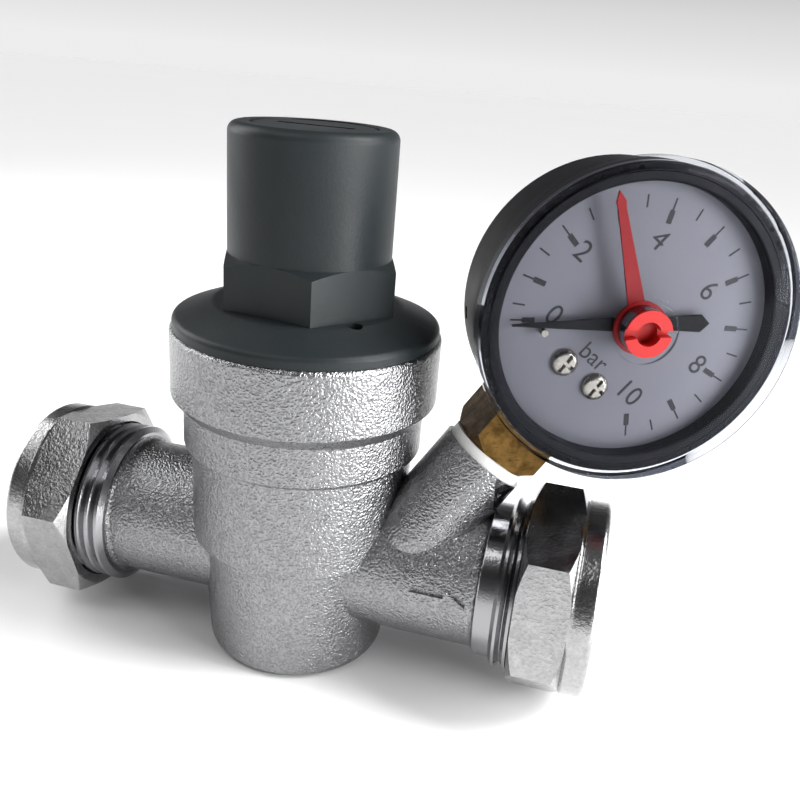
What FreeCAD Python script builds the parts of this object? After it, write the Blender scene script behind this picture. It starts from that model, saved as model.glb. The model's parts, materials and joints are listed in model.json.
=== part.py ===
import FreeCAD, Part
import math
import os

# Pressure reducing valve, 22 mm compression ends, with a bourdon tube pressure gauge.
# Modelled about the crossing of the pipe axis (X, flow towards +X) and the body axis (Z),
# then moved so that the origin is the middle of the inlet pipe socket's mouth.  Millimetres.

V = FreeCAD.Vector
X_AXIS = V(1, 0, 0)
Y_AXIS = V(0, 1, 0)
Z_AXIS = V(0, 0, 1)

# ---- pipe ends: distances along X from the body axis --------------------------
SOCKET_R = 11.1              # bore that the 22 mm pipe slides into
SOCKET_DEPTH = 10.0
SOCKET_MOUTH = 1.8           # depth of the conical mouth that the olive seals on
MOUTH_R = 12.6
WATERWAY_R = 8.5
INLET_END = -41.5            # spigot ends
OUTLET_END = 45.0
INLET_CASTING = -30.5        # where the casting stops and the thread starts
OUTLET_CASTING = 33.0
OUTLET_THREAD = 35.8
PORT_R = 11.6
SHOULDER_R = 12.6
THREAD_R = 13.9
THREAD_ROOT_R = 12.9
THREAD_PITCH = 1.8
NUT_OVERHANG = 6.0           # nut face beyond the spigot end
NUT_LENGTH = 12.0
NUT_HEX_LENGTH = 8.2
NUT_FLAT_R = 15.2            # half the width across flats
NUT_COLLAR_R = 15.6
NUT_BORE_R = 14.15
NUT_HOLE_R = 11.4
NUT_WALL = 1.8
OLIVE_BORE_R = 11.15
OLIVE_R = 12.5
OLIVE_LENGTH = 5.0
INLET_HEX_TURN = 18.0
OUTLET_HEX_TURN = 48.0

# ---- body ---------------------------------------------------------------------
RIM_TOP = 38.2
RIM_BOTTOM = 27.8
RIM_R = 21.25
BAND_TOP = 25.7
BAND_BOTTOM = 19.4
BAND_R = 19.3
BARREL_TOP = 18.6
BARREL_BOTTOM = 2.9
BARREL_R = 18.0
CUP_TOP = 2.0
CUP_R = 16.4
CUP_BOTTOM = -18.4
CUP_BOTTOM_R = 15.1
LOWER_FLOOR = -15.4
LOWER_CHAMBER_R = 10.0
PARTITION_BOTTOM = 6.0
PARTITION_TOP = 10.0
CARTRIDGE_R = 8.1
UPPER_CHAMBER_R = 13.5
DIAPHRAGM_CHAMBER_R = 14.5
DIAPHRAGM_CHAMBER_BOTTOM = 24.0
DIAPHRAGM_Z = 28.0
BONNET_BORE_R = 17.4
GUIDE_OUTER_R = 5.5
GUIDE_R = 3.05
GUIDE_TOP = -8.0

# ---- gauge boss: leans from the body axis and swings towards the back --------------
BOSS_LEAN = 35.32
BOSS_SWING = 23.49
BOSS_END = V(29.85, 1.65, 20.72)
BOSS_LENGTH = 16.3           # from the end back to the rounded foot
BOSS_R = 7.15
BOSS_BORE_DEPTH = 8.0
BOSS_BORE_R = 4.6
TAPPING_DEPTH = 19.0
TAPPING_R = 1.2
GAUGE_CENTRE = 30.5          # beyond the boss end
GAUGE_TURN = 18.63           # turn of the dial about its stem

# ---- cast flow arrow on the outlet port ---------------------------------------------
ARROW_TAIL = 22.6
ARROW_NECK = 28.0
ARROW_TIP = 31.8
ARROW_HALF = 1.0
ARROW_HEAD_HALF = 2.2
ARROW_Z = 0.9
ARROW_RISE = 0.5

# ---- bonnet ---------------------------------------------------------------------
SKIRT_R = 17.3
SKIRT_BORE_R = 14.5
SKIRT_BOTTOM = 30.0
FLANGE_R = 20.8
FLANGE_EDGE_TOP = 39.9
FLANGE_CROWN_R = 14.6
FLANGE_TOP = 42.3
HEX_FLAT_R = 12.5
HEX_TOP = 49.9
HEX_TURN = -8.3
TOWER_R = 12.5
TOWER_TOP = 68.6
TOWER_EDGE_R = 1.5
SPRING_BORE_R = 10.3
KEYWAY_R = 11.2
KEYWAY_W = 3.2
WEB_BOTTOM = 62.0
WEB_TOP = 64.0
CAP_BORE_R = 9.5
VENT_R = 1.25
VENT_FROM_AXIS = 13.9
VENT_ANGLE = -41.0

# ---- adjusting screw and spring --------------------------------------------------
SCREW_R = 4.0
SCREW_CLEARANCE = 0.06
SCREW_BOTTOM = 47.0
FOLLOWER_BOTTOM = 53.0
FOLLOWER_TOP = 57.0
WIRE_R = 1.3
SPRING_R = 7.8
SPRING_TURNS = 6

# ---- regulating parts ------------------------------------------------------------
STEM_R = 2.5
STEM_FOOT_R = 3.0
STEM_THREAD_R = 2.0
STEM_BOTTOM = -12.5
STEM_TOP = 35.0
SEAT_Z = 3.2
SEAT_BORE_R = 4.6
SEAT_R = 6.5
VALVE_GAP = 1.95             # opening between seat and seal at rest

# ---- gauge, in its own frame: x right, y away from the stem, z out of the dial ------
CASE_R = 22.1
CASE_INNER_R = 21.1
CASE_BACK = -7.0
CASE_WALL = 0.9
CASE_FRONT = 9.5
CASE_RIM_R = 22.8
CASE_RIM_Z = 4.1
DIAL_R = 21.5
DIAL_BACK = 6.1
DIAL_FACE = 6.9
BEZEL_R = 20.15              # opening of the black ring over the dial's edge
WINDOW_R = 23.55
WINDOW_SKIRT_Z = 8.1
WINDOW_BACK = 10.4
WINDOW_FRONT = 11.6
WINDOW_BOSS_R = 4.5
WINDOW_BOSS_FRONT = 13.0
TICK_R = 18.1                # outer ends of the scale marks
HUB_R = 3.4
HUB_FRONT = 13.35
MARKER_BACK = 9.7
POINTER_BACK = 8.0
BLOCK_HALF = 5.8
BLOCK_BOTTOM = -28.9
BLOCK_TOP = -21.8
HOLDER_TOP = -15.4
HOLDER_HALF = 4.6
GAUGE_STEM_R = 4.5
GAUGE_STEM_BOTTOM = -37.6
TUBE_R = 17.5
TUBE_HALF_THICK = 1.1
TUBE_HALF_WIDTH = 3.0
TUBE_START_ANGLE = 262.0
TUBE_END_ANGLE = -30.0
MODULE = 0.25
PINION_TEETH = 12
SECTOR_TEETH = 72
MESH_GAP = 0.06
SECTOR_PIVOT_Y = -(PINION_TEETH + SECTOR_TEETH) * MODULE / 2 - MESH_GAP
LOWER_PLATE_Z = -4.2
UPPER_PLATE_Z = 3.2
PLATE_T = 0.8
PILLARS = [(-7.4, -8.4), (7.4, -8.4), (0.0, 6.0)]
TAIL_R = 3.6
TAIL_ANGLE = -110.0          # the sector's tail at zero pressure
LUG_INSET = 2.4              # link pivot inside the tube's centre line
LUG_DROP = 1.4               # and beyond the tube's end
DIAL_SCREWS = [(-3.8, -10.6), (2.5, -10.6)]
STOP_PIN = (-10.05, -9.06)
REST_ANGLE = 218.0           # pointer at zero, from the dial's x
MARKER_ANGLE = 143.8
SLOT_TURN = 38.0             # turn of the slot in the marker's hub


def outline(corners, place):
    """Closed wire through corners (a, b, radius), each corner rounded by a tangent arc."""
    edges = []
    count = len(corners)
    joints = []
    for i in range(count):
        a, b, radius = corners[i]
        here = V(a, b, 0)
        if radius == 0:
            joints.append((here, here, here))
            continue
        before = (V(corners[i - 1][0], corners[i - 1][1], 0) - here).normalize()
        after = (V(corners[(i + 1) % count][0], corners[(i + 1) % count][1], 0) - here).normalize()
        half = before.getAngle(after) / 2
        setback = radius / math.tan(half)
        middle = (before + after).normalize()
        centre = here + middle * (radius / math.sin(half))
        joints.append((here + before * setback, centre - middle * radius, here + after * setback))
    for i in range(count):
        start, mid, end = [place(p) for p in joints[i]]
        if (end - start).Length > 1e-6:
            edges.append(Part.Arc(start, mid, end).toShape())
        following = place(joints[(i + 1) % count][0])
        if (following - end).Length > 1e-6:
            edges.append(Part.LineSegment(end, following).toShape())
    return Part.Wire(edges)


def turned(corners):
    """Solid of revolution about Z from (radius, z, corner radius)."""
    wire = outline(corners, lambda p: V(p.x, 0, p.y))
    return Part.Face(wire).revolve(V(0, 0, 0), Z_AXIS, 360)


def turned_x(corners):
    """Solid of revolution about X from (x, radius, corner radius)."""
    wire = outline(corners, lambda p: V(p.x, 0, p.y))
    return Part.Face(wire).revolve(V(0, 0, 0), X_AXIS, 360)


def plate(corners, low, high):
    """Flat plate in XY from (x, y, corner radius), between two heights."""
    wire = outline(corners, lambda p: V(p.x, p.y, low))
    return Part.Face(wire).extrude(V(0, 0, high - low))


def disc(radius, low, high, x=0.0, y=0.0):
    return Part.makeCylinder(radius, high - low, V(x, y, low))


def ring(outer, inner, low, high, x=0.0, y=0.0):
    return disc(outer, low, high, x, y).cut(disc(inner, low - 1, high + 1, x, y))


def rod_x(radius, start, end):
    return Part.makeCylinder(radius, end - start, V(start, 0, 0), X_AXIS)


def box(x0, x1, y0, y1, z0, z1):
    return Part.makeBox(x1 - x0, y1 - y0, z1 - z0, V(x0, y0, z0))


def polygon_prism(flat_r, sides, low, high, turn):
    """Regular prism about Z, given by half its width across flats."""
    corner_r = flat_r / math.cos(math.pi / sides)
    points = []
    for i in range(sides + 1):
        angle = math.radians(turn) + 2 * math.pi * i / sides
        points.append(V(corner_r * math.cos(angle), corner_r * math.sin(angle), low))
    return Part.Face(Part.makePolygon(points)).extrude(V(0, 0, high - low))


def turned_about_z(shape, degrees, centre=V(0, 0, 0)):
    copy = shape.copy()
    copy.rotate(centre, Z_AXIS, degrees)
    return copy


def torus(major, minor, z):
    return Part.makeTorus(major, minor, V(0, 0, z))


def mirrored_x(shape):
    return shape.mirror(V(0, 0, 0), X_AXIS)


def hexagon_x(flat_r, start, end, turn):
    """Hexagonal prism along X."""
    shape = polygon_prism(flat_r, 6, start, end, turn)
    shape.rotate(V(0, 0, 0), Y_AXIS, 90)
    return shape


def polar(radius, degrees, height=0.0):
    angle = math.radians(degrees)
    return V(radius * math.cos(angle), radius * math.sin(angle), height)


def stem_direction():
    lean = math.radians(BOSS_LEAN)
    swing = math.radians(BOSS_SWING)
    return V(math.sin(lean) * math.cos(swing), math.sin(lean) * math.sin(swing), math.cos(lean))


def along_boss(distance):
    return BOSS_END + stem_direction() * distance


def boss_rod(radius, start, end):
    return Part.makeCylinder(radius, end - start, along_boss(start), stem_direction())


def gauge_placement():
    """Dial frame: y along the stem, z out of the dial, turned about the stem."""
    stem = stem_direction()
    front = V(0, -1, 0) - stem * V(0, -1, 0).dot(stem)
    front.normalize()
    turn = math.radians(GAUGE_TURN)
    normal = front * math.cos(turn) + stem.cross(front) * math.sin(turn)
    right = stem.cross(normal)
    centre = along_boss(GAUGE_CENTRE)
    rows = FreeCAD.Matrix(
        right.x, stem.x, normal.x, centre.x,
        right.y, stem.y, normal.y, centre.y,
        right.z, stem.z, normal.z, centre.z,
        0, 0, 0, 1)
    return FreeCAD.Placement(rows)


# ---- body and pipe connections ------------------------------------------------------

def thread_profile(start, end):
    """Ridges of a parallel thread from start to end along x, as (x, radius, 0) corners."""
    corners = []
    count = int((end - start) / THREAD_PITCH)
    for i in range(count):
        x = start + i * THREAD_PITCH
        corners.append((x, THREAD_ROOT_R, 0))
        corners.append((x + 0.35 * THREAD_PITCH, THREAD_R, 0))
        corners.append((x + 0.6 * THREAD_PITCH, THREAD_R, 0))
        corners.append((x + 0.95 * THREAD_PITCH, THREAD_ROOT_R, 0))
    return corners


def spigot(casting, thread, end):
    """Port and threaded spigot pointing to +X, with a conical socket mouth."""
    corners = [(0, 0, 0), (0, PORT_R, 0), (casting, PORT_R, 0.8), (casting, THREAD_ROOT_R - 0.3, 0)]
    if thread > casting:
        corners = corners[:3] + [(casting, SHOULDER_R, 0.3), (thread, SHOULDER_R, 0)]
    corners += thread_profile(thread, end - 0.4)
    corners += [(end, THREAD_ROOT_R, 0), (end, 0, 0)]
    return turned_x(corners)


def socket_bore(end):
    """Pipe socket, its conical mouth and the waterway behind it, opening to +X."""
    mouth = end - SOCKET_MOUTH
    stop = mouth - SOCKET_DEPTH
    bore = [(0, 0, 0), (0, WATERWAY_R, 0), (stop, WATERWAY_R, 0), (stop, SOCKET_R, 0)]
    mouth_end = [(mouth, SOCKET_R, 0), (end, MOUTH_R, 0), (end + 1, MOUTH_R, 0), (end + 1, 0, 0)]
    return turned_x(bore + mouth_end)


def barrel():
    return turned([
        (0, CUP_BOTTOM, 0), (CUP_BOTTOM_R, CUP_BOTTOM, 1.8), (CUP_R, CUP_TOP, 0.3),
        (BARREL_R, BARREL_BOTTOM, 0.5), (BARREL_R, BARREL_TOP, 0.4), (BAND_R, BAND_BOTTOM, 0.4),
        (BAND_R, BAND_TOP, 0.4), (RIM_R, RIM_BOTTOM, 0.5), (RIM_R, RIM_TOP, 0.6), (0, RIM_TOP, 0)])


def flow_arrow():
    """Arrow cast on the front of the outlet port, pointing with the flow."""
    shape = Part.Face(outline([
        (ARROW_TAIL, ARROW_Z - ARROW_HALF, 0.4), (ARROW_NECK, ARROW_Z - ARROW_HALF, 0),
        (ARROW_NECK, ARROW_Z - ARROW_HEAD_HALF, 0.2), (ARROW_TIP, ARROW_Z, 0.4),
        (ARROW_NECK, ARROW_Z + ARROW_HEAD_HALF, 0.2), (ARROW_NECK, ARROW_Z + ARROW_HALF, 0),
        (ARROW_TAIL, ARROW_Z + ARROW_HALF, 0.4)], lambda p: V(p.x, 0, p.y)))
    arrow = shape.extrude(V(0, -(PORT_R + ARROW_RISE + 0.5), 0))
    return arrow.common(rod_x(PORT_R + ARROW_RISE, ARROW_TAIL - 1, ARROW_TIP + 1))


def body_chambers():
    """Everything hollow inside the body except the waterways."""
    lower = disc(LOWER_CHAMBER_R, LOWER_FLOOR, PARTITION_BOTTOM)
    lower = lower.cut(disc(GUIDE_OUTER_R, LOWER_FLOOR, GUIDE_TOP))
    guide = disc(GUIDE_R, LOWER_FLOOR, GUIDE_TOP + 1)
    cartridge = disc(CARTRIDGE_R, PARTITION_BOTTOM - 1, PARTITION_TOP + 1)
    upper = disc(UPPER_CHAMBER_R, PARTITION_TOP, DIAPHRAGM_CHAMBER_BOTTOM + 1)
    under_diaphragm = disc(DIAPHRAGM_CHAMBER_R, DIAPHRAGM_CHAMBER_BOTTOM, DIAPHRAGM_Z + 1)
    bonnet_bore = disc(BONNET_BORE_R, DIAPHRAGM_Z, RIM_TOP + 1)
    passage = box(11.0, 15.5, -6, 6, 0, 14)
    return [lower, guide, cartridge, upper, under_diaphragm, bonnet_bore, passage]


def valve_body():
    boss = boss_rod(BOSS_R, -BOSS_LENGTH, 0)
    foot = Part.makeSphere(BOSS_R, along_boss(-BOSS_LENGTH))
    inlet = mirrored_x(spigot(-INLET_CASTING, -INLET_CASTING, -INLET_END))
    outlet = spigot(OUTLET_CASTING, OUTLET_THREAD, OUTLET_END)
    solid = barrel().fuse([inlet, outlet, boss, foot])
    solid = solid.fuse(flow_arrow())
    inlet_way = mirrored_x(socket_bore(-INLET_END).cut(box(-1, 6, -20, 20, -20, 20)))
    outlet_way = socket_bore(OUTLET_END).cut(box(-1, 11.5, -20, 20, -20, 20))
    tapping = boss_rod(TAPPING_R, -TAPPING_DEPTH, 1 - BOSS_BORE_DEPTH)
    gauge_bore = boss_rod(BOSS_BORE_R, -BOSS_BORE_DEPTH, 1)
    return solid.cut(body_chambers() + [inlet_way, outlet_way, tapping, gauge_bore])


def compression_nut(turn):
    """Nut with its open end at x = 0 and its collar face at x = NUT_LENGTH."""
    corner_r = NUT_FLAT_R / math.cos(math.pi / 6)
    hexagon = hexagon_x(NUT_FLAT_R, 0, NUT_HEX_LENGTH, turn)
    bevels = turned_x([
        (0, 0, 0), (0, NUT_FLAT_R + 0.4, 0), (1.2, corner_r + 0.1, 0),
        (NUT_HEX_LENGTH - 1.2, corner_r + 0.1, 0), (NUT_HEX_LENGTH, NUT_COLLAR_R, 0),
        (NUT_HEX_LENGTH, 0, 0)])
    collar = turned_x([
        (NUT_HEX_LENGTH - 0.5, 0, 0), (NUT_HEX_LENGTH - 0.5, NUT_COLLAR_R - 0.6, 0),
        (NUT_HEX_LENGTH + 0.5, NUT_COLLAR_R, 0.3), (NUT_LENGTH, NUT_COLLAR_R, 0.9), (NUT_LENGTH, 0, 0)])
    wall = NUT_LENGTH - NUT_WALL
    hollow = turned_x([
        (-1, 0, 0), (-1, NUT_BORE_R, 0), (6.7, NUT_BORE_R, 0), (wall - 0.7, 12.9, 0),
        (wall, 12.3, 0), (wall, NUT_HOLE_R, 0), (NUT_LENGTH + 1, NUT_HOLE_R, 0), (NUT_LENGTH + 1, 0, 0)])
    edge = turned_x([
        (NUT_LENGTH - 0.7, 0, 0), (NUT_LENGTH - 0.7, NUT_HOLE_R, 0), (NUT_LENGTH, NUT_HOLE_R + 0.7, 0),
        (NUT_LENGTH, 0, 0)])
    return hexagon.common(bevels).fuse(collar).cut([hollow, edge])


def olive():
    """Barrel-shaped ring with its inner end at x = 0."""
    return turned_x([
        (0, OLIVE_BORE_R, 0), (0, 11.6, 0), (1.4, OLIVE_R, 0.5), (3.8, OLIVE_R, 0.5),
        (OLIVE_LENGTH, 11.7, 0), (OLIVE_LENGTH, OLIVE_BORE_R, 0)])


def outlet_compression_nut():
    nut = compression_nut(OUTLET_HEX_TURN)
    nut.translate(V(OUTLET_END + NUT_OVERHANG - NUT_LENGTH, 0, 0))
    return nut


def inlet_compression_nut():
    nut = compression_nut(INLET_HEX_TURN)
    nut.translate(V(-INLET_END + NUT_OVERHANG - NUT_LENGTH, 0, 0))
    return mirrored_x(nut)


def outlet_olive():
    shape = olive()
    shape.translate(V(OUTLET_END - 0.9, 0, 0))
    return shape


def inlet_olive():
    shape = olive()
    shape.translate(V(-INLET_END - 0.9, 0, 0))
    return mirrored_x(shape)


# ---- bonnet and adjustment -------------------------------------------------------------

def bonnet():
    skirt = disc(SKIRT_R, SKIRT_BOTTOM, RIM_TOP)
    flange = turned([
        (0, RIM_TOP, 0), (FLANGE_R, RIM_TOP, 0), (FLANGE_R, FLANGE_EDGE_TOP, 1.0),
        (FLANGE_CROWN_R, FLANGE_TOP, 2.0), (0, FLANGE_TOP, 0)])
    hexagon = polygon_prism(HEX_FLAT_R, 6, FLANGE_TOP - 0.1, HEX_TOP, HEX_TURN)
    corner_r = HEX_FLAT_R / math.cos(math.pi / 6)
    slope = turned([
        (0, FLANGE_TOP - 1, 0), (corner_r + 0.1, FLANGE_TOP - 1, 0), (corner_r + 0.1, HEX_TOP - 1.0, 0),
        (TOWER_R, HEX_TOP, 0), (0, HEX_TOP, 0)])
    tower = turned([
        (0, HEX_TOP - 1, 0), (TOWER_R, HEX_TOP - 1, 0), (TOWER_R, TOWER_TOP, TOWER_EDGE_R),
        (0, TOWER_TOP, 0)])
    solid = skirt.fuse([flange, hexagon.common(slope), tower])
    skirt_bore = turned([
        (0, SKIRT_BOTTOM - 1, 0), (SKIRT_BORE_R, SKIRT_BOTTOM - 1, 0), (SKIRT_BORE_R, RIM_TOP, 0),
        (SPRING_BORE_R, FLANGE_TOP, 0), (0, FLANGE_TOP, 0)])
    spring_bore = disc(SPRING_BORE_R, RIM_TOP, WEB_BOTTOM)
    keyways = box(-KEYWAY_R, KEYWAY_R, -KEYWAY_W / 2, KEYWAY_W / 2, RIM_TOP, 60.0)
    screw_hole = disc(SCREW_R + SCREW_CLEARANCE, WEB_BOTTOM - 1, WEB_TOP + 1)
    recess = disc(CAP_BORE_R, WEB_TOP, TOWER_TOP + 1)
    vent_centre = polar(VENT_FROM_AXIS, VENT_ANGLE)
    vent = disc(VENT_R, RIM_TOP - 2.0, FLANGE_TOP + 1, vent_centre.x, vent_centre.y)
    return solid.cut([skirt_bore, spring_bore, keyways, screw_hole, recess, vent])


def bonnet_cap():
    """Plug flush with the top of the tower, with a coin slot."""
    plug = turned([
        (0, 66.9, 0), (9.2, 66.9, 0), (9.2, TOWER_TOP - 0.1, 0.5), (0, TOWER_TOP - 0.1, 0)])
    lip = ring(9.2, 8.0, 65.4, 67.0)
    slot = box(-6, 6, -0.8, 0.8, TOWER_TOP - 1.0, TOWER_TOP + 1)
    return plug.fuse(lip).cut(slot)


def adjusting_screw():
    """Held in the web by its collar below and the clip above; threaded below the collar."""
    shank = turned([
        (0, SCREW_BOTTOM, 0), (SCREW_R - 0.8, SCREW_BOTTOM, 0), (SCREW_R, SCREW_BOTTOM + 0.8, 0),
        (SCREW_R, 60.2, 0), (6.2, 60.2, 0), (6.2, WEB_BOTTOM - 0.1, 0), (SCREW_R, WEB_BOTTOM - 0.1, 0),
        (SCREW_R, 66.3, 0.4), (0, 66.3, 0)])
    groove = ring(SCREW_R + 1, 3.4, WEB_TOP + 0.1, WEB_TOP + 0.9)
    slot = box(-5, 5, -0.5, 0.5, 65.3, 67)
    return shank.cut([groove, slot])


def screw_clip():
    clip = ring(5.8, 3.4, WEB_TOP + 0.1, WEB_TOP + 0.9)
    return clip.cut(box(0, 8, -1.2, 1.2, WEB_TOP, WEB_TOP + 1))


def spring_follower():
    plate_disc = disc(SPRING_BORE_R - 0.3, FOLLOWER_BOTTOM, FOLLOWER_TOP)
    lugs = box(-KEYWAY_R + 0.3, KEYWAY_R - 0.3, -1.3, 1.3, FOLLOWER_BOTTOM, FOLLOWER_TOP)
    collar = disc(6.0, FOLLOWER_BOTTOM - 2.0, FOLLOWER_BOTTOM)
    hole = disc(SCREW_R + SCREW_CLEARANCE, FOLLOWER_BOTTOM - 3, FOLLOWER_TOP + 1)
    return plate_disc.fuse([lugs, collar]).cut(hole)


def setting_spring():
    low = 31.3 + WIRE_R
    high = FOLLOWER_BOTTOM - 0.1 - WIRE_R
    path = Part.makeHelix((high - low) / SPRING_TURNS, high - low, SPRING_R)
    path.translate(V(0, 0, low))
    start = Part.Circle(V(SPRING_R, 0, low), Y_AXIS, WIRE_R)
    section = Part.Wire(start.toShape())
    coil = Part.Wire(path.Edges).makePipeShell([section], True, True)
    return coil


def slip_ring():
    return ring(17.1, DIAPHRAGM_CHAMBER_R, DIAPHRAGM_Z + 1.0, SKIRT_BOTTOM)


# ---- regulating parts --------------------------------------------------------------------

def diaphragm():
    sheet = turned([
        (STEM_R, DIAPHRAGM_Z, 0), (17.1, DIAPHRAGM_Z, 0), (17.1, DIAPHRAGM_Z + 1, 0),
        (STEM_R, DIAPHRAGM_Z + 1, 0)])
    return sheet


def diaphragm_plate():
    return turned([
        (STEM_THREAD_R, DIAPHRAGM_Z + 1, 0), (12.0, DIAPHRAGM_Z + 1, 0.6), (12.0, 33.0, 0.4),
        (10.6, 33.0, 0.4), (10.6, 31.3, 0.3), (STEM_THREAD_R, 31.3, 0)])


def diaphragm_washer():
    return turned([
        (STEM_R, 26.5, 0), (10.0, 26.5, 0.5), (10.0, DIAPHRAGM_Z, 0), (STEM_R, DIAPHRAGM_Z, 0)])


def stem():
    solid = turned([
        (0, STEM_BOTTOM, 0), (STEM_FOOT_R, STEM_BOTTOM, 0.4), (STEM_FOOT_R, -2.6, 0), (STEM_R, -2.6, 0),
        (STEM_R, 25.3, 0), (4.0, 25.3, 0), (4.0, 26.5, 0), (STEM_R, 26.5, 0), (STEM_R, DIAPHRAGM_Z + 1, 0),
        (STEM_THREAD_R, DIAPHRAGM_Z + 1, 0), (STEM_THREAD_R, STEM_TOP, 0.4), (0, STEM_TOP, 0)])
    groove = ring(STEM_FOOT_R + 1, 1.7, -11.0, -9.6)
    return solid.cut(groove)


def balancing_o_ring():
    return torus(2.35, 0.65, -10.3)


def stem_nut():
    nut = polygon_prism(3.5, 6, 31.3, 34.3, 0)
    return nut.cut(disc(STEM_THREAD_R, 31, 35))


def obturator():
    cup = disc(6.3, -2.6, 1.0)
    pocket = ring(5.9, 3.4, -0.6, 2)
    return cup.cut([pocket, disc(STEM_R, -3, 2)])


def obturator_seal():
    return ring(5.9, 3.4, -0.6, SEAT_Z - VALVE_GAP)


def cartridge_housing():
    """Cage screwed into the partition, with windows to the outlet chamber."""
    cage = disc(CARTRIDGE_R, SEAT_Z, 17.0).fuse(disc(10.0, 10.9, 12.4))
    hollow = disc(5.6, SEAT_Z - 1, 15.4).fuse(disc(SEAT_R, SEAT_Z - 1, 4.8))
    guide = disc(STEM_R + 0.1, 15, 18)
    windows = []
    for i in range(4):
        windows.append(turned_about_z(box(5, 12, -2.0, 2.0, 12.6, 15.2), 45 + 90 * i))
    return cage.cut([hollow, guide] + windows)


def cartridge_o_ring():
    return ring(9.6, CARTRIDGE_R, PARTITION_TOP, 10.9)


def seat_ring():
    return turned([
        (SEAT_BORE_R, SEAT_Z + 0.4, 0), (5.0, SEAT_Z, 0.2), (5.6, SEAT_Z, 0.2), (SEAT_R, SEAT_Z + 0.5, 0),
        (SEAT_R, 4.8, 0), (SEAT_BORE_R, 4.8, 0)])


def strainer():
    """Perforated cylinder between the chamber floor and the partition."""
    shell = ring(9.4, 8.9, LOWER_FLOOR, PARTITION_BOTTOM)
    holes = []
    for row in range(5):
        for i in range(10):
            hole = Part.makeCylinder(1.3, 4, V(7, 0, -12.4 + 3.6 * row), X_AXIS)
            holes.append(turned_about_z(hole, 36 * i + 18 * (row % 2)))
    return shell.cut(holes)


# ---- gauge ---------------------------------------------------------------------------------

def gauge_seal_washer():
    washer = ring(6.6, GAUGE_STEM_R + 0.1, -GAUGE_CENTRE, BLOCK_BOTTOM)
    washer.rotate(V(0, 0, 0), X_AXIS, -90)
    return washer


def stem_rod(radius, low, high):
    """Rod along the gauge's y axis."""
    return Part.makeCylinder(radius, high - low, V(0, low, 0), Y_AXIS)


def tube_band(grow):
    """Flattened tube bent round the dial axis, as a solid band."""
    band = ring(TUBE_R + TUBE_HALF_THICK + grow, TUBE_R - TUBE_HALF_THICK - grow,
                -TUBE_HALF_WIDTH - grow, TUBE_HALF_WIDTH + grow)
    keep_angle = TUBE_START_ANGLE - TUBE_END_ANGLE
    sector = Part.makeCylinder(30, 10, V(0, 0, -5), Z_AXIS, keep_angle)
    sector.rotate(V(0, 0, 0), Z_AXIS, TUBE_END_ANGLE)
    return band.common(sector)


def bourdon_tube():
    skin = 0.3
    inner = ring(TUBE_R + TUBE_HALF_THICK - skin, TUBE_R - TUBE_HALF_THICK + skin,
                 -TUBE_HALF_WIDTH + skin, TUBE_HALF_WIDTH - skin)
    return tube_band(0).cut(inner)


def gauge_socket():
    """Square block with the connecting stem below and the tube holder above."""
    block = box(-BLOCK_HALF, BLOCK_HALF, BLOCK_BOTTOM, BLOCK_TOP, -BLOCK_HALF, BLOCK_HALF)
    corners = Part.makeCone(BLOCK_HALF + 0.6, BLOCK_HALF + 5.6, 5.0, V(0, BLOCK_BOTTOM, 0), Y_AXIS)
    upper = box(-20, 20, BLOCK_BOTTOM + 5.0, 0, -20, 20)
    block = block.common(corners.fuse(upper))
    holder = box(-HOLDER_HALF, HOLDER_HALF, BLOCK_TOP - 0.5, HOLDER_TOP, LOWER_PLATE_Z, 4.4)
    shelf = box(-6.6, 6.6, -16.5, -11.6, -BLOCK_HALF, LOWER_PLATE_Z)
    back = box(-HOLDER_HALF, HOLDER_HALF, BLOCK_TOP - 0.5, -16.0, -BLOCK_HALF, LOWER_PLATE_Z)
    shank = stem_rod(GAUGE_STEM_R, GAUGE_STEM_BOTTOM, BLOCK_BOTTOM + 1)
    bore = stem_rod(1.5, GAUGE_STEM_BOTTOM - 1, -TUBE_R + 0.8)
    cross_bore = Part.makeCylinder(0.8, 3.0, V(0, -TUBE_R, 0), V(-1, 0, 0))
    return block.fuse([holder, shelf, back, shank]).cut([bore, cross_bore, tube_band(0)])


def throttle_screw():
    """Drilled screw in the mouth of the stem that damps pressure shocks."""
    return stem_rod(1.5, GAUGE_STEM_BOTTOM + 0.3, GAUGE_STEM_BOTTOM + 4).cut(
        stem_rod(0.4, GAUGE_STEM_BOTTOM, GAUGE_STEM_BOTTOM + 5))


def gauge_case():
    shell = turned([
        (0, CASE_BACK, 0), (CASE_R, CASE_BACK, 1.6), (CASE_R, CASE_RIM_Z, 0.3), (CASE_RIM_R, CASE_RIM_Z, 0),
        (CASE_RIM_R, CASE_FRONT, 0.3), (DIAL_R + 0.1, CASE_FRONT, 0), (DIAL_R + 0.1, DIAL_BACK, 0),
        (CASE_INNER_R, DIAL_BACK, 0), (CASE_INNER_R, CASE_BACK + CASE_WALL, 0.6),
        (0, CASE_BACK + CASE_WALL, 0)])
    entry = box(-BLOCK_HALF, BLOCK_HALF, -30, -15, -BLOCK_HALF, BLOCK_HALF)
    notch = turned_about_z(box(-24, -20, -1.0, 1.0, -4.6, -3.4), 42)
    return shell.cut([entry, notch])


def bezel_ring():
    """Black ring between the dial's edge and the window."""
    return turned([
        (BEZEL_R, DIAL_FACE, 0), (DIAL_R, DIAL_FACE, 0), (DIAL_R, CASE_FRONT, 0), (BEZEL_R, CASE_FRONT, 0.4)])


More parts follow.
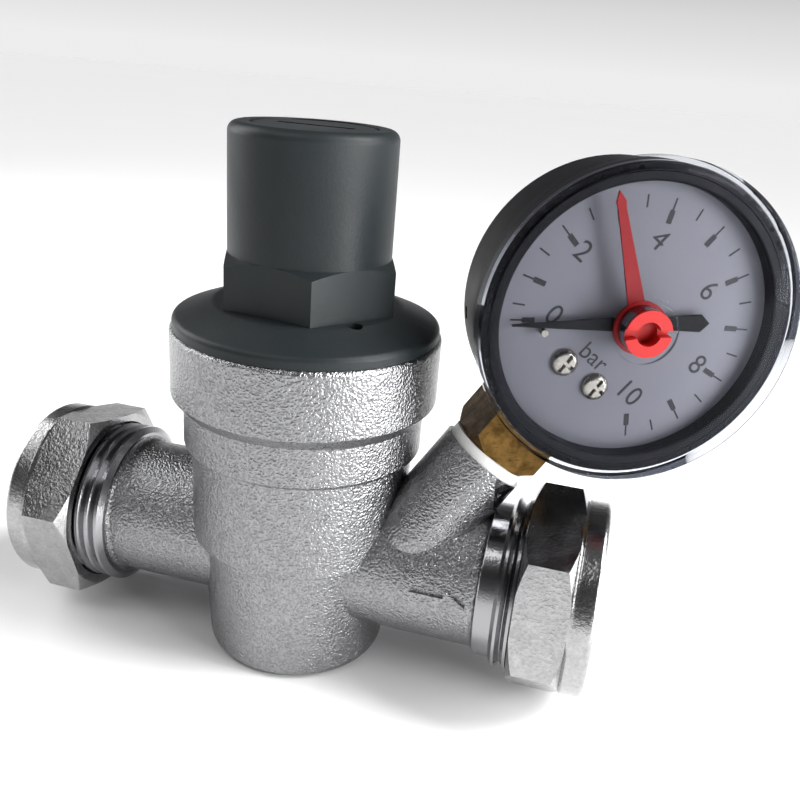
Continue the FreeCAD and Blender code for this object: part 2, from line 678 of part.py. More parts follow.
def gauge_window():
    """Snap-on window with a stepped rim and a raised boss that carries the marker."""
    return turned([
        (HUB_R + 0.05, WINDOW_BACK, 0), (DIAL_R + 0.4, WINDOW_BACK, 0), (DIAL_R + 0.4, CASE_FRONT, 0),
        (CASE_RIM_R + 0.05, CASE_FRONT, 0), (CASE_RIM_R + 0.05, WINDOW_SKIRT_Z, 0),
        (WINDOW_R, WINDOW_SKIRT_Z, 0.3), (WINDOW_R, WINDOW_FRONT - 0.8, 0.6), (22.9, WINDOW_FRONT, 0.2),
        (22.35, WINDOW_FRONT - 0.4, 0.1), (21.8, WINDOW_FRONT, 0.2),
        (WINDOW_BOSS_R + 0.3, WINDOW_FRONT, 0.3), (WINDOW_BOSS_R, WINDOW_BOSS_FRONT, 0.4),
        (HUB_R + 0.05, WINDOW_BOSS_FRONT, 0)])


def dial_plate():
    holes = [disc(1.2, DIAL_BACK - 1, DIAL_FACE + 1)]
    for x, y in DIAL_SCREWS:
        holes.append(disc(1.0, DIAL_BACK - 1, DIAL_FACE + 1, x, y))
    holes.append(disc(0.5, DIAL_BACK - 1, DIAL_FACE + 1, STOP_PIN[0], STOP_PIN[1]))
    return disc(DIAL_R, DIAL_BACK, DIAL_FACE).cut(holes)


def dial_screws():
    """Two domed cross-slotted screws that hold the dial to the movement."""
    screws = []
    for x, y in DIAL_SCREWS:
        head = turned([(0, 0, 0), (2.07, 0, 0), (2.07, 0.95, 0.85), (0, 0.95, 0)])
        head.translate(V(x, y, DIAL_FACE))
        shank = disc(0.95, UPPER_PLATE_Z, DIAL_FACE + 0.1, x, y)
        cross = box(x - 1.5, x + 1.5, y - 0.28, y + 0.28, DIAL_FACE + 0.3, 10)
        across = box(x - 0.28, x + 0.28, y - 1.5, y + 1.5, DIAL_FACE + 0.3, 10)
        screws.append(head.fuse(shank).cut([cross, across]))
    return Part.makeCompound(screws)


def dial_stop_pin():
    return disc(0.5, DIAL_BACK, MARKER_BACK - 0.5, STOP_PIN[0], STOP_PIN[1])


def pressure_pointer():
    """Long tapered pointer with a pointed tail, pressed on the arbor's end, at zero pressure."""
    blade = plate([
        (TICK_R, -0.14, 0), (TICK_R, 0.14, 0), (3.7, 0.97, 0), (-3.7, 0.85, 0), (-9.9, 1.3, 0),
        (-11.2, 0, 0), (-9.9, -1.3, 0), (-3.7, -0.85, 0), (3.7, -0.97, 0)],
        POINTER_BACK, POINTER_BACK + 0.35)
    hub = disc(1.85, POINTER_BACK - 0.1, POINTER_BACK + 0.8)
    bore = disc(0.5, POINTER_BACK - 1, POINTER_BACK + 2)
    return turned_about_z(blade.fuse(hub).cut(bore), REST_ANGLE)


def marker_pointer():
    """Set-point marker with a slotted hub that comes out through the window."""
    blade = plate([
        (TICK_R + 1.6, 0, 0), (TICK_R + 0.1, 0.69, 0), (TICK_R - 0.8, 0.57, 0), (2.8, 1.25, 0),
        (2.8, -1.25, 0), (TICK_R - 0.8, -0.57, 0), (TICK_R + 0.1, -0.69, 0)], MARKER_BACK, MARKER_BACK + 0.4)
    hub = disc(HUB_R, MARKER_BACK, HUB_FRONT)
    well = disc(1.75, 11.2, HUB_FRONT + 1)
    slot = plate([
        (-HUB_R - 1, 1.0, 0), (-1.0, 0.46, 0), (HUB_R + 1, 0.46, 0), (HUB_R + 1, -0.46, 0),
        (-1.0, -0.46, 0), (-HUB_R - 1, -1.0, 0)], 11.9, HUB_FRONT + 1)
    flange = disc(HUB_R + 0.5, MARKER_BACK, MARKER_BACK + 0.5)
    hub = hub.cut([well, turned_about_z(slot, SLOT_TURN)])
    return hub.fuse([flange, turned_about_z(blade, MARKER_ANGLE)])


def movement_plate(z):
    shape = plate([
        (-8.6, -14.6, 3.0), (8.6, -14.6, 3.0), (9.4, -6.5, 2.5), (2.6, 8.4, 2.0), (-2.6, 8.4, 2.0),
        (-9.4, -6.5, 2.5)], z, z + PLATE_T)
    holes = [disc(0.65, z - 1, z + 2), disc(0.85, z - 1, z + 2, 0, SECTOR_PIVOT_Y)]
    for x, y in PILLARS:
        holes.append(disc(0.7, z - 1, z + 2, x, y))
    return shape.cut(holes)


def movement_lower_plate():
    return movement_plate(LOWER_PLATE_Z)


def movement_upper_plate():
    shape = movement_plate(UPPER_PLATE_Z)
    lug_holes = []
    for x, y in DIAL_SCREWS:
        lug_holes.append(disc(0.95, UPPER_PLATE_Z - 1, UPPER_PLATE_Z + 2, x, y))
    return shape.cut(lug_holes)


def movement_pillars():
    posts = []
    for x, y in PILLARS:
        post = disc(1.2, LOWER_PLATE_Z + PLATE_T, UPPER_PLATE_Z, x, y)
        ends = disc(0.7, LOWER_PLATE_Z, UPPER_PLATE_Z + PLATE_T, x, y)
        head = disc(1.3, UPPER_PLATE_Z + PLATE_T, UPPER_PLATE_Z + PLATE_T + 0.8, x, y)
        posts.append(post.fuse([ends, head]))
    return Part.makeCompound(posts)


def tooth(root_r, tip_r, angle, root_half, tip_half):
    points = []
    for radius, offset in ((root_r, -root_half), (tip_r, -tip_half), (tip_r, tip_half), (root_r, root_half)):
        a = math.radians(angle + offset)
        points.append((radius * math.cos(a), radius * math.sin(a)))
    return points


def gear_face(teeth_angles, pitch_r, root_half, tip_half):
    """Toothed outline corners, one tooth at each angle."""
    corners = []
    for angle in teeth_angles:
        for x, y in tooth(pitch_r - 1.2 * MODULE, pitch_r + 0.8 * MODULE, angle, root_half, tip_half):
            corners.append((x, y, 0))
    return corners


def pinion_arbor():
    pitch_r = PINION_TEETH * MODULE / 2
    angles = [30.0 * i - 90.0 + 15.0 for i in range(PINION_TEETH)]
    gear = plate(gear_face(angles, pitch_r, 9.0, 3.0), -1.2, 1.2)
    shaft = disc(0.6, LOWER_PLATE_Z, POINTER_BACK - 0.1)
    nose = disc(0.5, POINTER_BACK - 0.2, POINTER_BACK + 0.8)
    return gear.fuse([shaft, nose])


def sector_gear():
    """Toothed sector with a slotted tail; its teeth run to the right of the pinion at zero."""
    pitch_r = SECTOR_TEETH * MODULE / 2
    angles = [35.0 + 5.0 * i for i in range(13)]
    rim = gear_face(angles, pitch_r, 1.5, 0.5)
    outline_corners = [(0, 0, 0)] + rim
    blank = plate(outline_corners, -0.4, 0.4)
    hub = disc(1.6, -0.4, 0.4)
    tail = box(0, TAIL_R, -0.9, 0.9, -0.4, 0.4).fuse(disc(0.9, -0.4, 0.4, TAIL_R))
    tail = turned_about_z(tail.cut(disc(0.5, -1, 1, TAIL_R)), TAIL_ANGLE)
    shaft = disc(0.8, LOWER_PLATE_Z, UPPER_PLATE_Z + PLATE_T)
    solid = blank.fuse([hub, tail, shaft])
    solid.translate(V(0, SECTOR_PIVOT_Y, 0))
    return solid


def tube_tip():
    """End piece closing the tube, with a lug for the link."""
    block = box(TUBE_R - 1.2, TUBE_R + 1.2, -2.6, 0, -3.2, 3.2)
    lug = box(TUBE_R - LUG_INSET - 1.1, TUBE_R - 1.0, -2.5, -0.3, 0.9, 1.7)
    pin_hole = disc(0.7, 0, 3, TUBE_R - LUG_INSET, -LUG_DROP)
    return turned_about_z(block.fuse(lug).cut(pin_hole), TUBE_END_ANGLE)


def connecting_link():
    """Link from the sector's tail to the tube's tip, with a pin at each end."""
    tail = V(0, SECTOR_PIVOT_Y, 0) + polar(TAIL_R, TAIL_ANGLE)
    lug = polar(TUBE_R - LUG_INSET, TUBE_END_ANGLE) + polar(LUG_DROP, TUBE_END_ANGLE - 90)
    span = lug - tail
    bar = box(0, span.Length, -0.6, 0.6, 2.0, 2.5)
    bar = bar.fuse([disc(0.9, 2.0, 2.5), disc(0.9, 2.0, 2.5, span.Length)])
    bar = turned_about_z(bar, math.degrees(math.atan2(span.y, span.x)))
    bar.translate(tail)
    tail_pin = disc(0.45, -0.6, 2.1, tail.x, tail.y)
    lug_pin = disc(0.45, 0.7, 2.1, lug.x, lug.y)
    return bar.fuse([tail_pin, lug_pin])


BODY_NODES = [
    valve_body, inlet_compression_nut, outlet_compression_nut, inlet_olive, outlet_olive,
    bonnet, bonnet_cap, adjusting_screw, screw_clip, spring_follower, setting_spring, slip_ring,
    diaphragm, diaphragm_plate, diaphragm_washer, stem, stem_nut, balancing_o_ring,
    obturator, obturator_seal, cartridge_housing, cartridge_o_ring, seat_ring, strainer]
GAUGE_NODES = [
    gauge_seal_washer, gauge_socket, throttle_screw, gauge_case, bezel_ring, gauge_window, dial_plate,
    dial_screws, dial_stop_pin, pressure_pointer, marker_pointer, bourdon_tube, tube_tip, connecting_link,
    sector_gear, pinion_arbor, movement_lower_plate, movement_upper_plate, movement_pillars]


def export(shape, name):
    """Move the part so that the inlet socket's mouth is the origin, and write it."""
    shape.translate(V(-(INLET_END + SOCKET_MOUTH), 0, 0))
    shape.exportStep("parts/" + name + ".step")


def main():
    os.makedirs("parts", exist_ok=True)
    for make in BODY_NODES:
        export(make(), make.__name__)
    placement = gauge_placement()
    for make in GAUGE_NODES:
        shape = make()
        shape.Placement = placement.multiply(shape.Placement)
        export(shape, make.__name__)


main()
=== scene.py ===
import json
import math

import bpy
from mathutils import Matrix, Vector


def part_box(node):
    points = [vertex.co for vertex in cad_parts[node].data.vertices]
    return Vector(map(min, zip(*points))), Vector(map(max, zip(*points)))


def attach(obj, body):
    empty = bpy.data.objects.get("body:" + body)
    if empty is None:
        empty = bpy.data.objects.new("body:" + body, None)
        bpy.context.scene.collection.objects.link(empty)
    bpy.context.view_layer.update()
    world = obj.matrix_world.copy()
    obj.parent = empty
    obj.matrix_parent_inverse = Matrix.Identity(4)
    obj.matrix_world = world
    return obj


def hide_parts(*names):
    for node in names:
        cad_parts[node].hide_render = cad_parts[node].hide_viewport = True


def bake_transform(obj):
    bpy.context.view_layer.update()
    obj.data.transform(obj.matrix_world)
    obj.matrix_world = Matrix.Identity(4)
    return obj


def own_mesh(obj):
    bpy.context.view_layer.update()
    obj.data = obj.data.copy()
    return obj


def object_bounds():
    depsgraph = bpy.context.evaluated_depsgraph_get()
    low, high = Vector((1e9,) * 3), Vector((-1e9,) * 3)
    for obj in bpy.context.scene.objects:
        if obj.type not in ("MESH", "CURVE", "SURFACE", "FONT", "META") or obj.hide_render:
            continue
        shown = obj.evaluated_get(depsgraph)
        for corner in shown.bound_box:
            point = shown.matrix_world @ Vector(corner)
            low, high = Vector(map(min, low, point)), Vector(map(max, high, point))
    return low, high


# Looks for the pressure reducing valve: materials, the printed dial, a studio and the camera.
# Metres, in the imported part's frame: +X with the flow, +Z up, the dial towards -Y.

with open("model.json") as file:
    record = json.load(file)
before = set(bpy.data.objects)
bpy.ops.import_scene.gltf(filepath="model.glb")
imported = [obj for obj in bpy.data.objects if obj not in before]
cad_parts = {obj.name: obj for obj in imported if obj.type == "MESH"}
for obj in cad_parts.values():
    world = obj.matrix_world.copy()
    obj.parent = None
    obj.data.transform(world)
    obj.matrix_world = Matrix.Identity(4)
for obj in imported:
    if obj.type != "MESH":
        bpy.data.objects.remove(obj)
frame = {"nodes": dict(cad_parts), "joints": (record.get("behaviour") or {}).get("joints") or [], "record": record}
cad_low, cad_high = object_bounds()
NODES = frame["nodes"]
JOINTS = {joint["name"]: joint for joint in frame["joints"]}
MM = 0.001

# Machined thread ends of the casting, measured from the inner faces of the two pipe nuts.
INLET_SMOOTH_LENGTH = 5.0 * MM
OUTLET_SMOOTH_LENGTH = 6.0 * MM

# Dial printing. Places along a radius are shares of TICK_R, the outer ends of the marks.
TICK_R = 18.1 * MM
DIAL_FACE_OFFSET = -0.5 * MM      # from the pointer's pivot to the dial's face, along its normal
PRINT_RAISE = 0.03 * MM
TICK_COUNT = 21
SCALE_START = 225.0
SCALE_STEP = 13.5
PRINT_TURN = -2.66
ZERO_MARK_TURN = -5.8             # the first mark stands a little below its even place
WHOLE_MARK_INNER = 0.80           # marks for the whole bars: a thick inner part, then a line
WHOLE_MARK_STEP = 0.905
HALF_MARK_INNER = 0.90            # marks between them: a line only
MARK_OUTER = 1.00
THICK_HALF_WIDTH = 0.40 * MM
LINE_HALF_WIDTH = 0.13 * MM
NUMERALS = [("0", -0.53, -0.38), ("2", -0.72, 0.12), ("4", -0.32, 0.58),
            ("6", 0.30, 0.58), ("8", 0.71, 0.11), ("10", 0.44, -0.43)]
NUMERAL_SIZE = 4.3 * MM
UNIT_PLACE = (-0.02, -0.41)
UNIT_SIZE = 3.7 * MM

# Camera: in front, a little to the right and above.
CAMERA_AZIMUTH = 13.61
CAMERA_ELEVATION = 21.79
CAMERA_ROLL = 4.63
CAMERA_DISTANCE = 134.91 * MM
CAMERA_LENS = 38.46               # millimetres, for a sensor SENSOR_WIDTH wide
SENSOR_WIDTH = 36
CLIP_START = 5.0 * MM
TARGET_ASIDE = 15.88 * MM         # from the bonnet's middle towards the gauge
TARGET_HEIGHT = 0.538             # share of the height from the body's foot to the bonnet's top

# Studio floor.
FLOOR_GAP = 0.1 * MM
FLOOR_HALF = 3.0

# Surroundings from the horizon (0) to overhead (1), as (height, level).
SKY = [(0.0, 0.85), (0.06, 0.70), (0.20, 0.18), (0.55, 0.05), (1.0, 0.10)]
SKY_BLUE = 1.01
SUN_FROM = (0.70, 0.12, 0.72)
SUN_SPREAD = 28.0
SUN_ENERGY = 4.2

# Soft boxes: name, place from the object's centre, width and height, watts.
SOFT_BOXES = [
    ("right", (0.34, -0.04, 0.06), (0.30, 0.24), 2.8),
    ("left", (-0.40, 0.05, 0.20), (0.26, 0.34), 1.3),
    ("overhead", (-0.18, -0.28, 0.50), (0.30, 0.30), 0.8),
]

# Plain metals: dark and light colour, roughness.
METALS = {
    "machined_brass": ((0.55, 0.38, 0.14), (0.78, 0.58, 0.26), 0.25),
    "machined_steel": ((0.42, 0.42, 0.43), (0.60, 0.60, 0.61), 0.3),
    "nickel": ((0.26, 0.24, 0.20), (0.44, 0.41, 0.35), 0.25),
}

# Moulded plastics and rubber: dark and light colour, roughness, grain strength, specular level.
PLASTICS = {
    "rubber": ((0.012, 0.012, 0.012), (0.025, 0.025, 0.025), 0.6, 0.25, 0.45),
    "bonnet_plastic": ((0.0110, 0.0140, 0.0150), (0.0165, 0.0210, 0.0225), 0.45, 0.4, 0.22),
    "cap_plastic": ((0.0110, 0.0135, 0.0145), (0.0155, 0.0195, 0.0210), 0.45, 0.4, 0.22),
    "slip_plastic": ((0.62, 0.62, 0.60), (0.70, 0.70, 0.68), 0.4, 0.25, 0.45),
    "ptfe": ((0.72, 0.72, 0.70), (0.84, 0.84, 0.82), 0.38, 0.25, 0.45),
    "case_plastic": ((0.006, 0.006, 0.007), (0.011, 0.011, 0.013), 0.42, 0.2, 0.12),
    "pointer_black": ((0.004, 0.004, 0.004), (0.008, 0.008, 0.008), 0.5, 0.05, 0.15),
    "marker_red": ((0.33, 0.006, 0.006), (0.42, 0.010, 0.009), 0.4, 0.05, 0.3),
}


# ---- node helpers -----------------------------------------------------------------------

class Surface:
    """A Principled material and short ways to add nodes to it."""

    def __init__(self, name, metallic=0.0):
        self.material = bpy.data.materials.new(name)
        self.material.use_nodes = True
        self.nodes = self.material.node_tree.nodes
        self.links = self.material.node_tree.links
        self.shader = self.nodes["Principled BSDF"]
        self.shader.inputs["Metallic"].default_value = metallic
        self.place = self.nodes.new("ShaderNodeTexCoord").outputs["Object"]

    def feed(self, socket, value):
        """Set an input to a number or a colour, or link it to another node's output."""
        if isinstance(value, tuple):
            socket.default_value = (*value, 1)
        elif isinstance(value, (int, float)):
            socket.default_value = value
        else:
            self.links.new(value, socket)

    def noise(self, scale, detail=2.0, roughness=0.5, stretch=None):
        node = self.nodes.new("ShaderNodeTexNoise")
        node.inputs["Scale"].default_value = scale
        node.inputs["Detail"].default_value = detail
        node.inputs["Roughness"].default_value = roughness
        source = self.place
        if stretch:
            mapping = self.nodes.new("ShaderNodeMapping")
            mapping.inputs["Scale"].default_value = stretch
            self.links.new(source, mapping.inputs["Vector"])
            source = mapping.outputs["Vector"]
        self.links.new(source, node.inputs["Vector"])
        return node.outputs["Fac"]

    def span(self, value, low, high, to_low=0.0, to_high=1.0):
        node = self.nodes.new("ShaderNodeMapRange")
        ends = (("From Min", low), ("From Max", high), ("To Min", to_low), ("To Max", to_high))
        for key, number in ends:
            node.inputs[key].default_value = number
        self.links.new(value, node.inputs["Value"])
        return node.outputs["Result"]

    def math(self, operation, a, b):
        node = self.nodes.new("ShaderNodeMath")
        node.operation = operation
        for socket, value in zip(node.inputs, (a, b)):
            self.feed(socket, value)
        return node.outputs["Value"]

    def weighted(self, first, share, second):
        """The first value by its share, and the second by the rest."""
        return self.math("ADD", self.math("MULTIPLY", first, share),
                         self.math("MULTIPLY", second, 1 - share))

    def mix(self, factor, first, second):
        node = self.nodes.new("ShaderNodeMix")
        node.data_type = "RGBA"
        self.links.new(factor, node.inputs["Factor"])
        self.feed(node.inputs["A"], first)
        self.feed(node.inputs["B"], second)
        return node.outputs["Result"]

    def axis(self, name):
        node = self.nodes.new("ShaderNodeSeparateXYZ")
        self.links.new(self.place, node.inputs["Vector"])
        return node.outputs[name]

    def bump(self, height, strength, distance):
        node = self.nodes.new("ShaderNodeBump")
        node.inputs["Distance"].default_value = distance
        self.feed(node.inputs["Strength"], strength)
        self.links.new(height, node.inputs["Height"])
        self.links.new(node.outputs["Normal"], self.shader.inputs["Normal"])
        return self

    def color(self, value):
        self.feed(self.shader.inputs["Base Color"], value)
        return self

    def roughness(self, value):
        self.feed(self.shader.inputs["Roughness"], value)
        return self


# ---- materials --------------------------------------------------------------------------

def cast_chrome():
    """Chrome over a blasted casting: sandy pits all over, smooth on the machined thread ends."""
    surface = Surface("cast_chrome", metallic=1.0)
    inlet_casting_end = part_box("inlet_compression_nut")[1].x + INLET_SMOOTH_LENGTH
    outlet_casting_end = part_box("outlet_compression_nut")[0].x - OUTLET_SMOOTH_LENGTH
    x = surface.axis("X")
    cast = surface.math("MULTIPLY", surface.math("GREATER_THAN", x, inlet_casting_end),
                        surface.math("LESS_THAN", x, outlet_casting_end))
    grain = surface.weighted(surface.noise(2700, detail=1.0), 0.7, surface.noise(1250))
    surface.bump(grain, surface.span(cast, 0, 1, 0.06, 0.95), 0.36 * MM)
    drift = surface.span(surface.noise(60, detail=3.0), 0, 1, 0, 0.08)
    surface.roughness(surface.math("ADD", surface.span(cast, 0, 1, 0.12, 0.24), drift))
    pits = surface.mix(surface.span(grain, 0.38, 0.60), (0.205, 0.207, 0.215), (0.300, 0.302, 0.306))
    return surface.color(surface.mix(surface.span(cast, 0, 1), (0.30, 0.30, 0.31), pits))


def nut_chrome():
    """Chrome over a milled nut: satin, with faint tool marks and light scuffs."""
    surface = Surface("nut_chrome", metallic=1.0)
    grain = surface.weighted(surface.noise(1900, roughness=0.6), 0.6,
                             surface.noise(500, detail=3.0))
    surface.bump(grain, 0.5, 0.2 * MM)
    surface.roughness(surface.span(surface.noise(220, detail=3.0), 0.3, 0.7, 0.17, 0.30))
    tone = surface.span(grain, 0.35, 0.65)
    return surface.color(surface.mix(tone, (0.31, 0.31, 0.315), (0.42, 0.42, 0.42)))


def plain_metal(name, dark, light, roughness):
    """Machined metal: a fine bump, and slow drifts of roughness and colour."""
    surface = Surface(name, metallic=1.0)
    scale = 700
    surface.bump(surface.noise(scale, detail=3.0), 0.15, 0.1 * MM)
    patches = surface.noise(scale / 3, detail=3.0)
    surface.roughness(surface.span(patches, 0.3, 0.7, roughness * 0.7, roughness * 1.3))
    return surface.color(surface.mix(surface.noise(scale / 4, detail=4.0), dark, light))


def tarnished_brass():
    """Brass block handled and aged: brown blotches, dark specks and fine drawn scratches."""
    surface = Surface("tarnished_brass", metallic=1.0)
    blotch = surface.span(surface.noise(500, detail=5.0, roughness=0.65), 0.35, 0.65)
    base = surface.mix(blotch, (0.062, 0.034, 0.009), (0.155, 0.090, 0.028))
    drawn = surface.noise(900, detail=3.0, roughness=0.6, stretch=(0.3, 1, 3.0))
    surface.color(surface.mix(surface.span(drawn, 0.60, 0.68), base, (0.06, 0.04, 0.014)))
    surface.roughness(surface.span(blotch, 0, 1, 0.52, 0.38))
    specks = surface.noise(1100, detail=4.0, roughness=0.6, stretch=(1, 1, 0.3))
    return surface.bump(specks, 0.4, 0.12 * MM)


def moulded_plastic(name, dark, light, roughness, strength, specular):
    """Satin moulded plastic with a fine leathery grain and slight colour drift."""
    surface = Surface(name)
    surface.shader.inputs["Specular IOR Level"].default_value = specular
    surface.bump(surface.noise(2100), strength, 0.06 * MM)
    patches = surface.noise(90, detail=4.0)
    surface.roughness(surface.span(patches, 0.3, 0.7, roughness - 0.06, roughness + 0.06))
    return surface.color(surface.mix(surface.noise(55, detail=4.0), dark, light))


def dial_paint():
    """Pale paint with a hint of violet."""
    surface = Surface("dial_paint")
    surface.bump(surface.noise(1600), 0.04, 0.03 * MM)
    surface.roughness(surface.span(surface.noise(200), 0.3, 0.7, 0.4, 0.5))
    tone = surface.noise(35, detail=3.0)
    return surface.color(surface.mix(tone, (0.165, 0.162, 0.178), (0.215, 0.208, 0.226)))


def black_print():
    """Printing ink, a little uneven."""
    surface = Surface("black_print")
    surface.roughness(surface.span(surface.noise(900), 0.3, 0.7, 0.42, 0.55))
    return surface.color(surface.mix(surface.noise(500), (0.004, 0.004, 0.005), (0.008, 0.008, 0.009)))


def clear_window():
    """Clear plastic: see-through, shining more where it is seen at a slant."""
    surface = Surface("clear_window", metallic=1.0)
    nodes, links = surface.nodes, surface.links
    surface.color((0.27, 0.28, 0.31))
    surface.roughness(surface.span(surface.noise(120, detail=3.0), 0.3, 0.7, 0.02, 0.06))
    see = nodes.new("ShaderNodeBsdfTransparent")
    see.inputs["Color"].default_value = (0.93, 0.94, 0.965, 1)
    fresnel = nodes.new("ShaderNodeFresnel")
    fresnel.inputs["IOR"].default_value = 1.2
    mixer = nodes.new("ShaderNodeMixShader")
    links.new(fresnel.outputs["Fac"], mixer.inputs["Fac"])
    links.new(see.outputs["BSDF"], mixer.inputs[1])
    links.new(surface.shader.outputs["BSDF"], mixer.inputs[2])
    links.new(mixer.outputs["Shader"], nodes["Material Output"].inputs["Surface"])
    return surface


def make_materials():
    """One surface for each material slot of the record."""
    surfaces = {name: plain_metal(name, *look) for name, look in METALS.items()}
    surfaces.update({name: moulded_plastic(name, *look) for name, look in PLASTICS.items()})
    surfaces["brass"] = surfaces["machined_brass"]
    surfaces["movement_brass"] = surfaces["machined_brass"]
    surfaces["steel"] = surfaces["machined_steel"]
    surfaces["chrome_casting"] = cast_chrome()
    surfaces["chrome_nut"] = nut_chrome()
    surfaces["gauge_brass"] = tarnished_brass()
    surfaces["window"] = clear_window()
    surfaces["dial"] = dial_paint()
    return surfaces


def paint_nodes(surfaces):
    for part in frame["record"]["subparts"]:
        node = NODES[part["node"]]
        node.data.materials.clear()
        node.data.materials.append(surfaces[part["material_slot"]].material)


# ---- springy parts ----------------------------------------------------------------------

def living_copy(node):
    """A copy of a CAD node that is shown in its place; the node itself is hidden."""
    mesh = NODES[node].data.copy()
    mesh.transform(NODES[node].matrix_world)
    piece = bpy.data.objects.new("living_" + node, mesh)
    bpy.context.scene.collection.objects.link(piece)
    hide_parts(node)
    return piece


def springy_parts():
    """Copies of the setting spring, riding with the valve body on a mesh of its own, and of the bent tube."""
    spring = living_copy("setting_spring")
    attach(spring, "valve")
    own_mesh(spring)
    tube = living_copy("bourdon_tube")
    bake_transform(tube)


# ---- the printed dial -------------------------------------------------------------------

def dial_matrix():
    """Frame on the dial's face: x right, y away from the stem, z out of the dial."""
    pivot = Vector(JOINTS["pointer_turn"]["pos_m"])
    normal = -Vector(JOINTS["pointer_turn"]["axis"]).normalized()
    up = pivot - Vector(JOINTS["sector_turn"]["pos_m"])
    up = (up - normal * up.dot(normal)).normalized()
    right = up.cross(normal)
    centre = pivot + normal * DIAL_FACE_OFFSET
    columns = Matrix((right, up, normal)).transposed().to_4x4()
    return Matrix.Translation(centre) @ columns


def print_piece(name, data, matrix, ink):
    """A printed piece on the dial: it rides with the body of the valve."""
    data.transform(matrix)
    data.materials.clear()
    data.materials.append(ink)
    piece = bpy.data.objects.new(name, data)
    bpy.context.scene.collection.objects.link(piece)
    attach(piece, "valve")


def scale_marks(matrix, ink):
    """All marks of the scale in one mesh. The whole bars have a thick inner part."""
    verts, faces = [], []

    def bar(angle, inner, outer, half_width):
        start = len(verts)
        along = Vector((math.cos(angle), math.sin(angle), 0))
        across = Vector((-along.y, along.x, 0)) * half_width
        corners = ((inner, -1), (outer, -1), (outer, 1), (inner, 1))
        for height in (-PRINT_RAISE, PRINT_RAISE):
            for radius, side in corners:
                verts.append(along * radius * TICK_R + across * side + Vector((0, 0, height)))
        quads = [(3, 2, 1, 0), (4, 5, 6, 7), (0, 1, 5, 4), (1, 2, 6, 5), (2, 3, 7, 6), (3, 0, 4, 7)]
        faces.extend([tuple(start + i for i in quad) for quad in quads])

    for i in range(TICK_COUNT):
        turn = PRINT_TURN + (ZERO_MARK_TURN if i == 0 else 0)
        angle = math.radians(SCALE_START - SCALE_STEP * i + turn)
        if i % 2 == 0:
            bar(angle, WHOLE_MARK_INNER, WHOLE_MARK_STEP, THICK_HALF_WIDTH)
            bar(angle, WHOLE_MARK_STEP, MARK_OUTER, LINE_HALF_WIDTH)
        else:
            bar(angle, HALF_MARK_INNER, MARK_OUTER, LINE_HALF_WIDTH)
    mesh = bpy.data.meshes.new("scale_marks")
    mesh.from_pydata(verts, [], faces)
    print_piece("scale_marks", mesh, matrix, ink)


def printed_text(name, text, x, y, size, matrix, ink):
    """Text on the dial, centred at x and y, as a thin solid."""
    curve = bpy.data.curves.new(name + "_curve", "FONT")
    curve.body = text
    curve.size = size
    curve.extrude = PRINT_RAISE
    curve.align_x = "CENTER"
    curve.align_y = "CENTER"
    holder = bpy.data.objects.new(name + "_text", curve)
    bpy.context.scene.collection.objects.link(holder)
    bpy.context.view_layer.update()
    graph = bpy.context.evaluated_depsgraph_get()
    mesh = bpy.data.meshes.new_from_object(holder.evaluated_get(graph))
    bpy.data.objects.remove(holder)
    place = Matrix.Translation((x * TICK_R, y * TICK_R, 0))
    print_piece(name, mesh, matrix @ place, ink)


def print_dial():
    ink = black_print().material
    face = dial_matrix()
    scale_marks(face, ink)
    turned = face @ Matrix.Rotation(math.radians(PRINT_TURN), 4, "Z")
    for text, x, y in NUMERALS:
        printed_text("numeral_" + text, text, x, y, NUMERAL_SIZE, turned, ink)
    printed_text("unit_bar", "bar", *UNIT_PLACE, UNIT_SIZE, turned, ink)


# ---- studio and camera ------------------------------------------------------------------

def facing(direction):
    """Turn of a light that shines along a direction."""
    return Vector(direction).to_track_quat("-Z", "Y").to_euler()


def add_light(name, kind, energy, direction):
    light = bpy.data.lights.new(name, kind)
    light.energy = energy
    holder = bpy.data.objects.new(name, light)
    bpy.context.scene.collection.objects.link(holder)
    holder.rotation_euler = facing(direction)
    return holder


def add_lights(centre):
    for name, offset, size, power in SOFT_BOXES:
        holder = add_light(name, "AREA", power, -Vector(offset))
        holder.location = centre + Vector(offset)
        holder.data.shape = "RECTANGLE"
        holder.data.size, holder.data.size_y = size
    daylight = add_light("daylight", "SUN", SUN_ENERGY, -Vector(SUN_FROM))
    daylight.data.angle = math.radians(SUN_SPREAD)


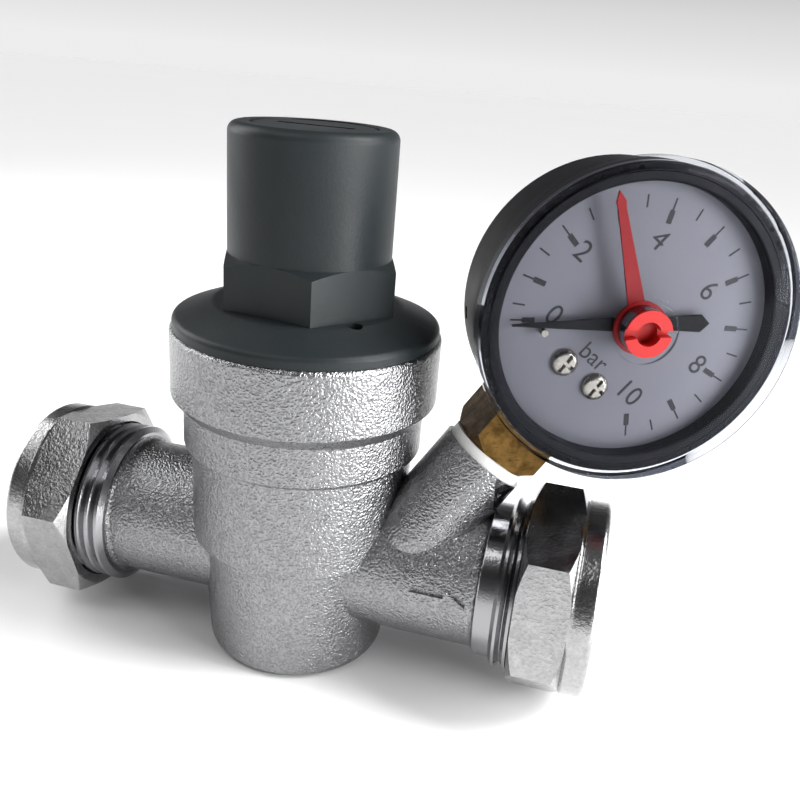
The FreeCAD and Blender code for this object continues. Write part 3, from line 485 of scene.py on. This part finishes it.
def add_floor(centre):
    mesh = bpy.data.meshes.new("floor")
    half = FLOOR_HALF
    corners = [(-half, -half, 0), (half, -half, 0), (half, half, 0), (-half, half, 0)]
    mesh.from_pydata(corners, [], [(0, 1, 2, 3)])
    floor = bpy.data.objects.new("floor", mesh)
    bpy.context.scene.collection.objects.link(floor)
    floor.location = (centre.x, centre.y, cad_low.z - FLOOR_GAP)
    pale = Surface("floor_paint").roughness(0.6)
    pale.color(pale.mix(pale.noise(3), (0.88, 0.88, 0.88), (0.91, 0.91, 0.91)))
    mesh.materials.append(pale.material)


def surroundings():
    """Bright low down and dark above, the same in every direction."""
    world = bpy.data.worlds.new("studio")
    world.use_nodes = True
    nodes, links = world.node_tree.nodes, world.node_tree.links
    height = nodes.new("ShaderNodeSeparateXYZ")
    links.new(nodes.new("ShaderNodeTexCoord").outputs["Generated"], height.inputs["Vector"])
    ramp = nodes.new("ShaderNodeValToRGB")
    while len(ramp.color_ramp.elements) < len(SKY):
        ramp.color_ramp.elements.new(0.5)
    for element, (position, level) in zip(ramp.color_ramp.elements, SKY):
        element.position = position
        element.color = (level, level, level * SKY_BLUE, 1)
    links.new(height.outputs["Z"], ramp.inputs["Fac"])
    links.new(ramp.outputs["Color"], nodes["Background"].inputs["Color"])
    bpy.context.scene.world = world
    bpy.context.scene.view_settings.view_transform = "Standard"


def add_camera():
    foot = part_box("valve_body")[0].z
    bonnet_low, bonnet_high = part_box("bonnet")
    target = Vector(((bonnet_low.x + bonnet_high.x) / 2 + TARGET_ASIDE, 0,
                     foot + TARGET_HEIGHT * (bonnet_high.z - foot)))
    azimuth, elevation = math.radians(CAMERA_AZIMUTH), math.radians(CAMERA_ELEVATION)
    back = Vector((math.sin(azimuth) * math.cos(elevation),
                   -math.cos(azimuth) * math.cos(elevation), math.sin(elevation)))
    turn = (-back).to_track_quat("-Z", "Y").to_matrix().to_4x4()
    roll = Matrix.Rotation(math.radians(CAMERA_ROLL), 4, "Z")
    data = bpy.data.cameras.new("camera")
    data.lens = CAMERA_LENS
    data.sensor_width = SENSOR_WIDTH
    data.clip_start = CLIP_START
    camera = bpy.data.objects.new("camera", data)
    bpy.context.scene.collection.objects.link(camera)
    camera.matrix_world = Matrix.Translation(target + back * CAMERA_DISTANCE) @ turn @ roll
    bpy.context.scene.camera = camera


paint_nodes(make_materials())
springy_parts()
print_dial()
middle = (cad_low + cad_high) / 2
add_floor(middle)
surroundings()
add_lights(middle)
add_camera()
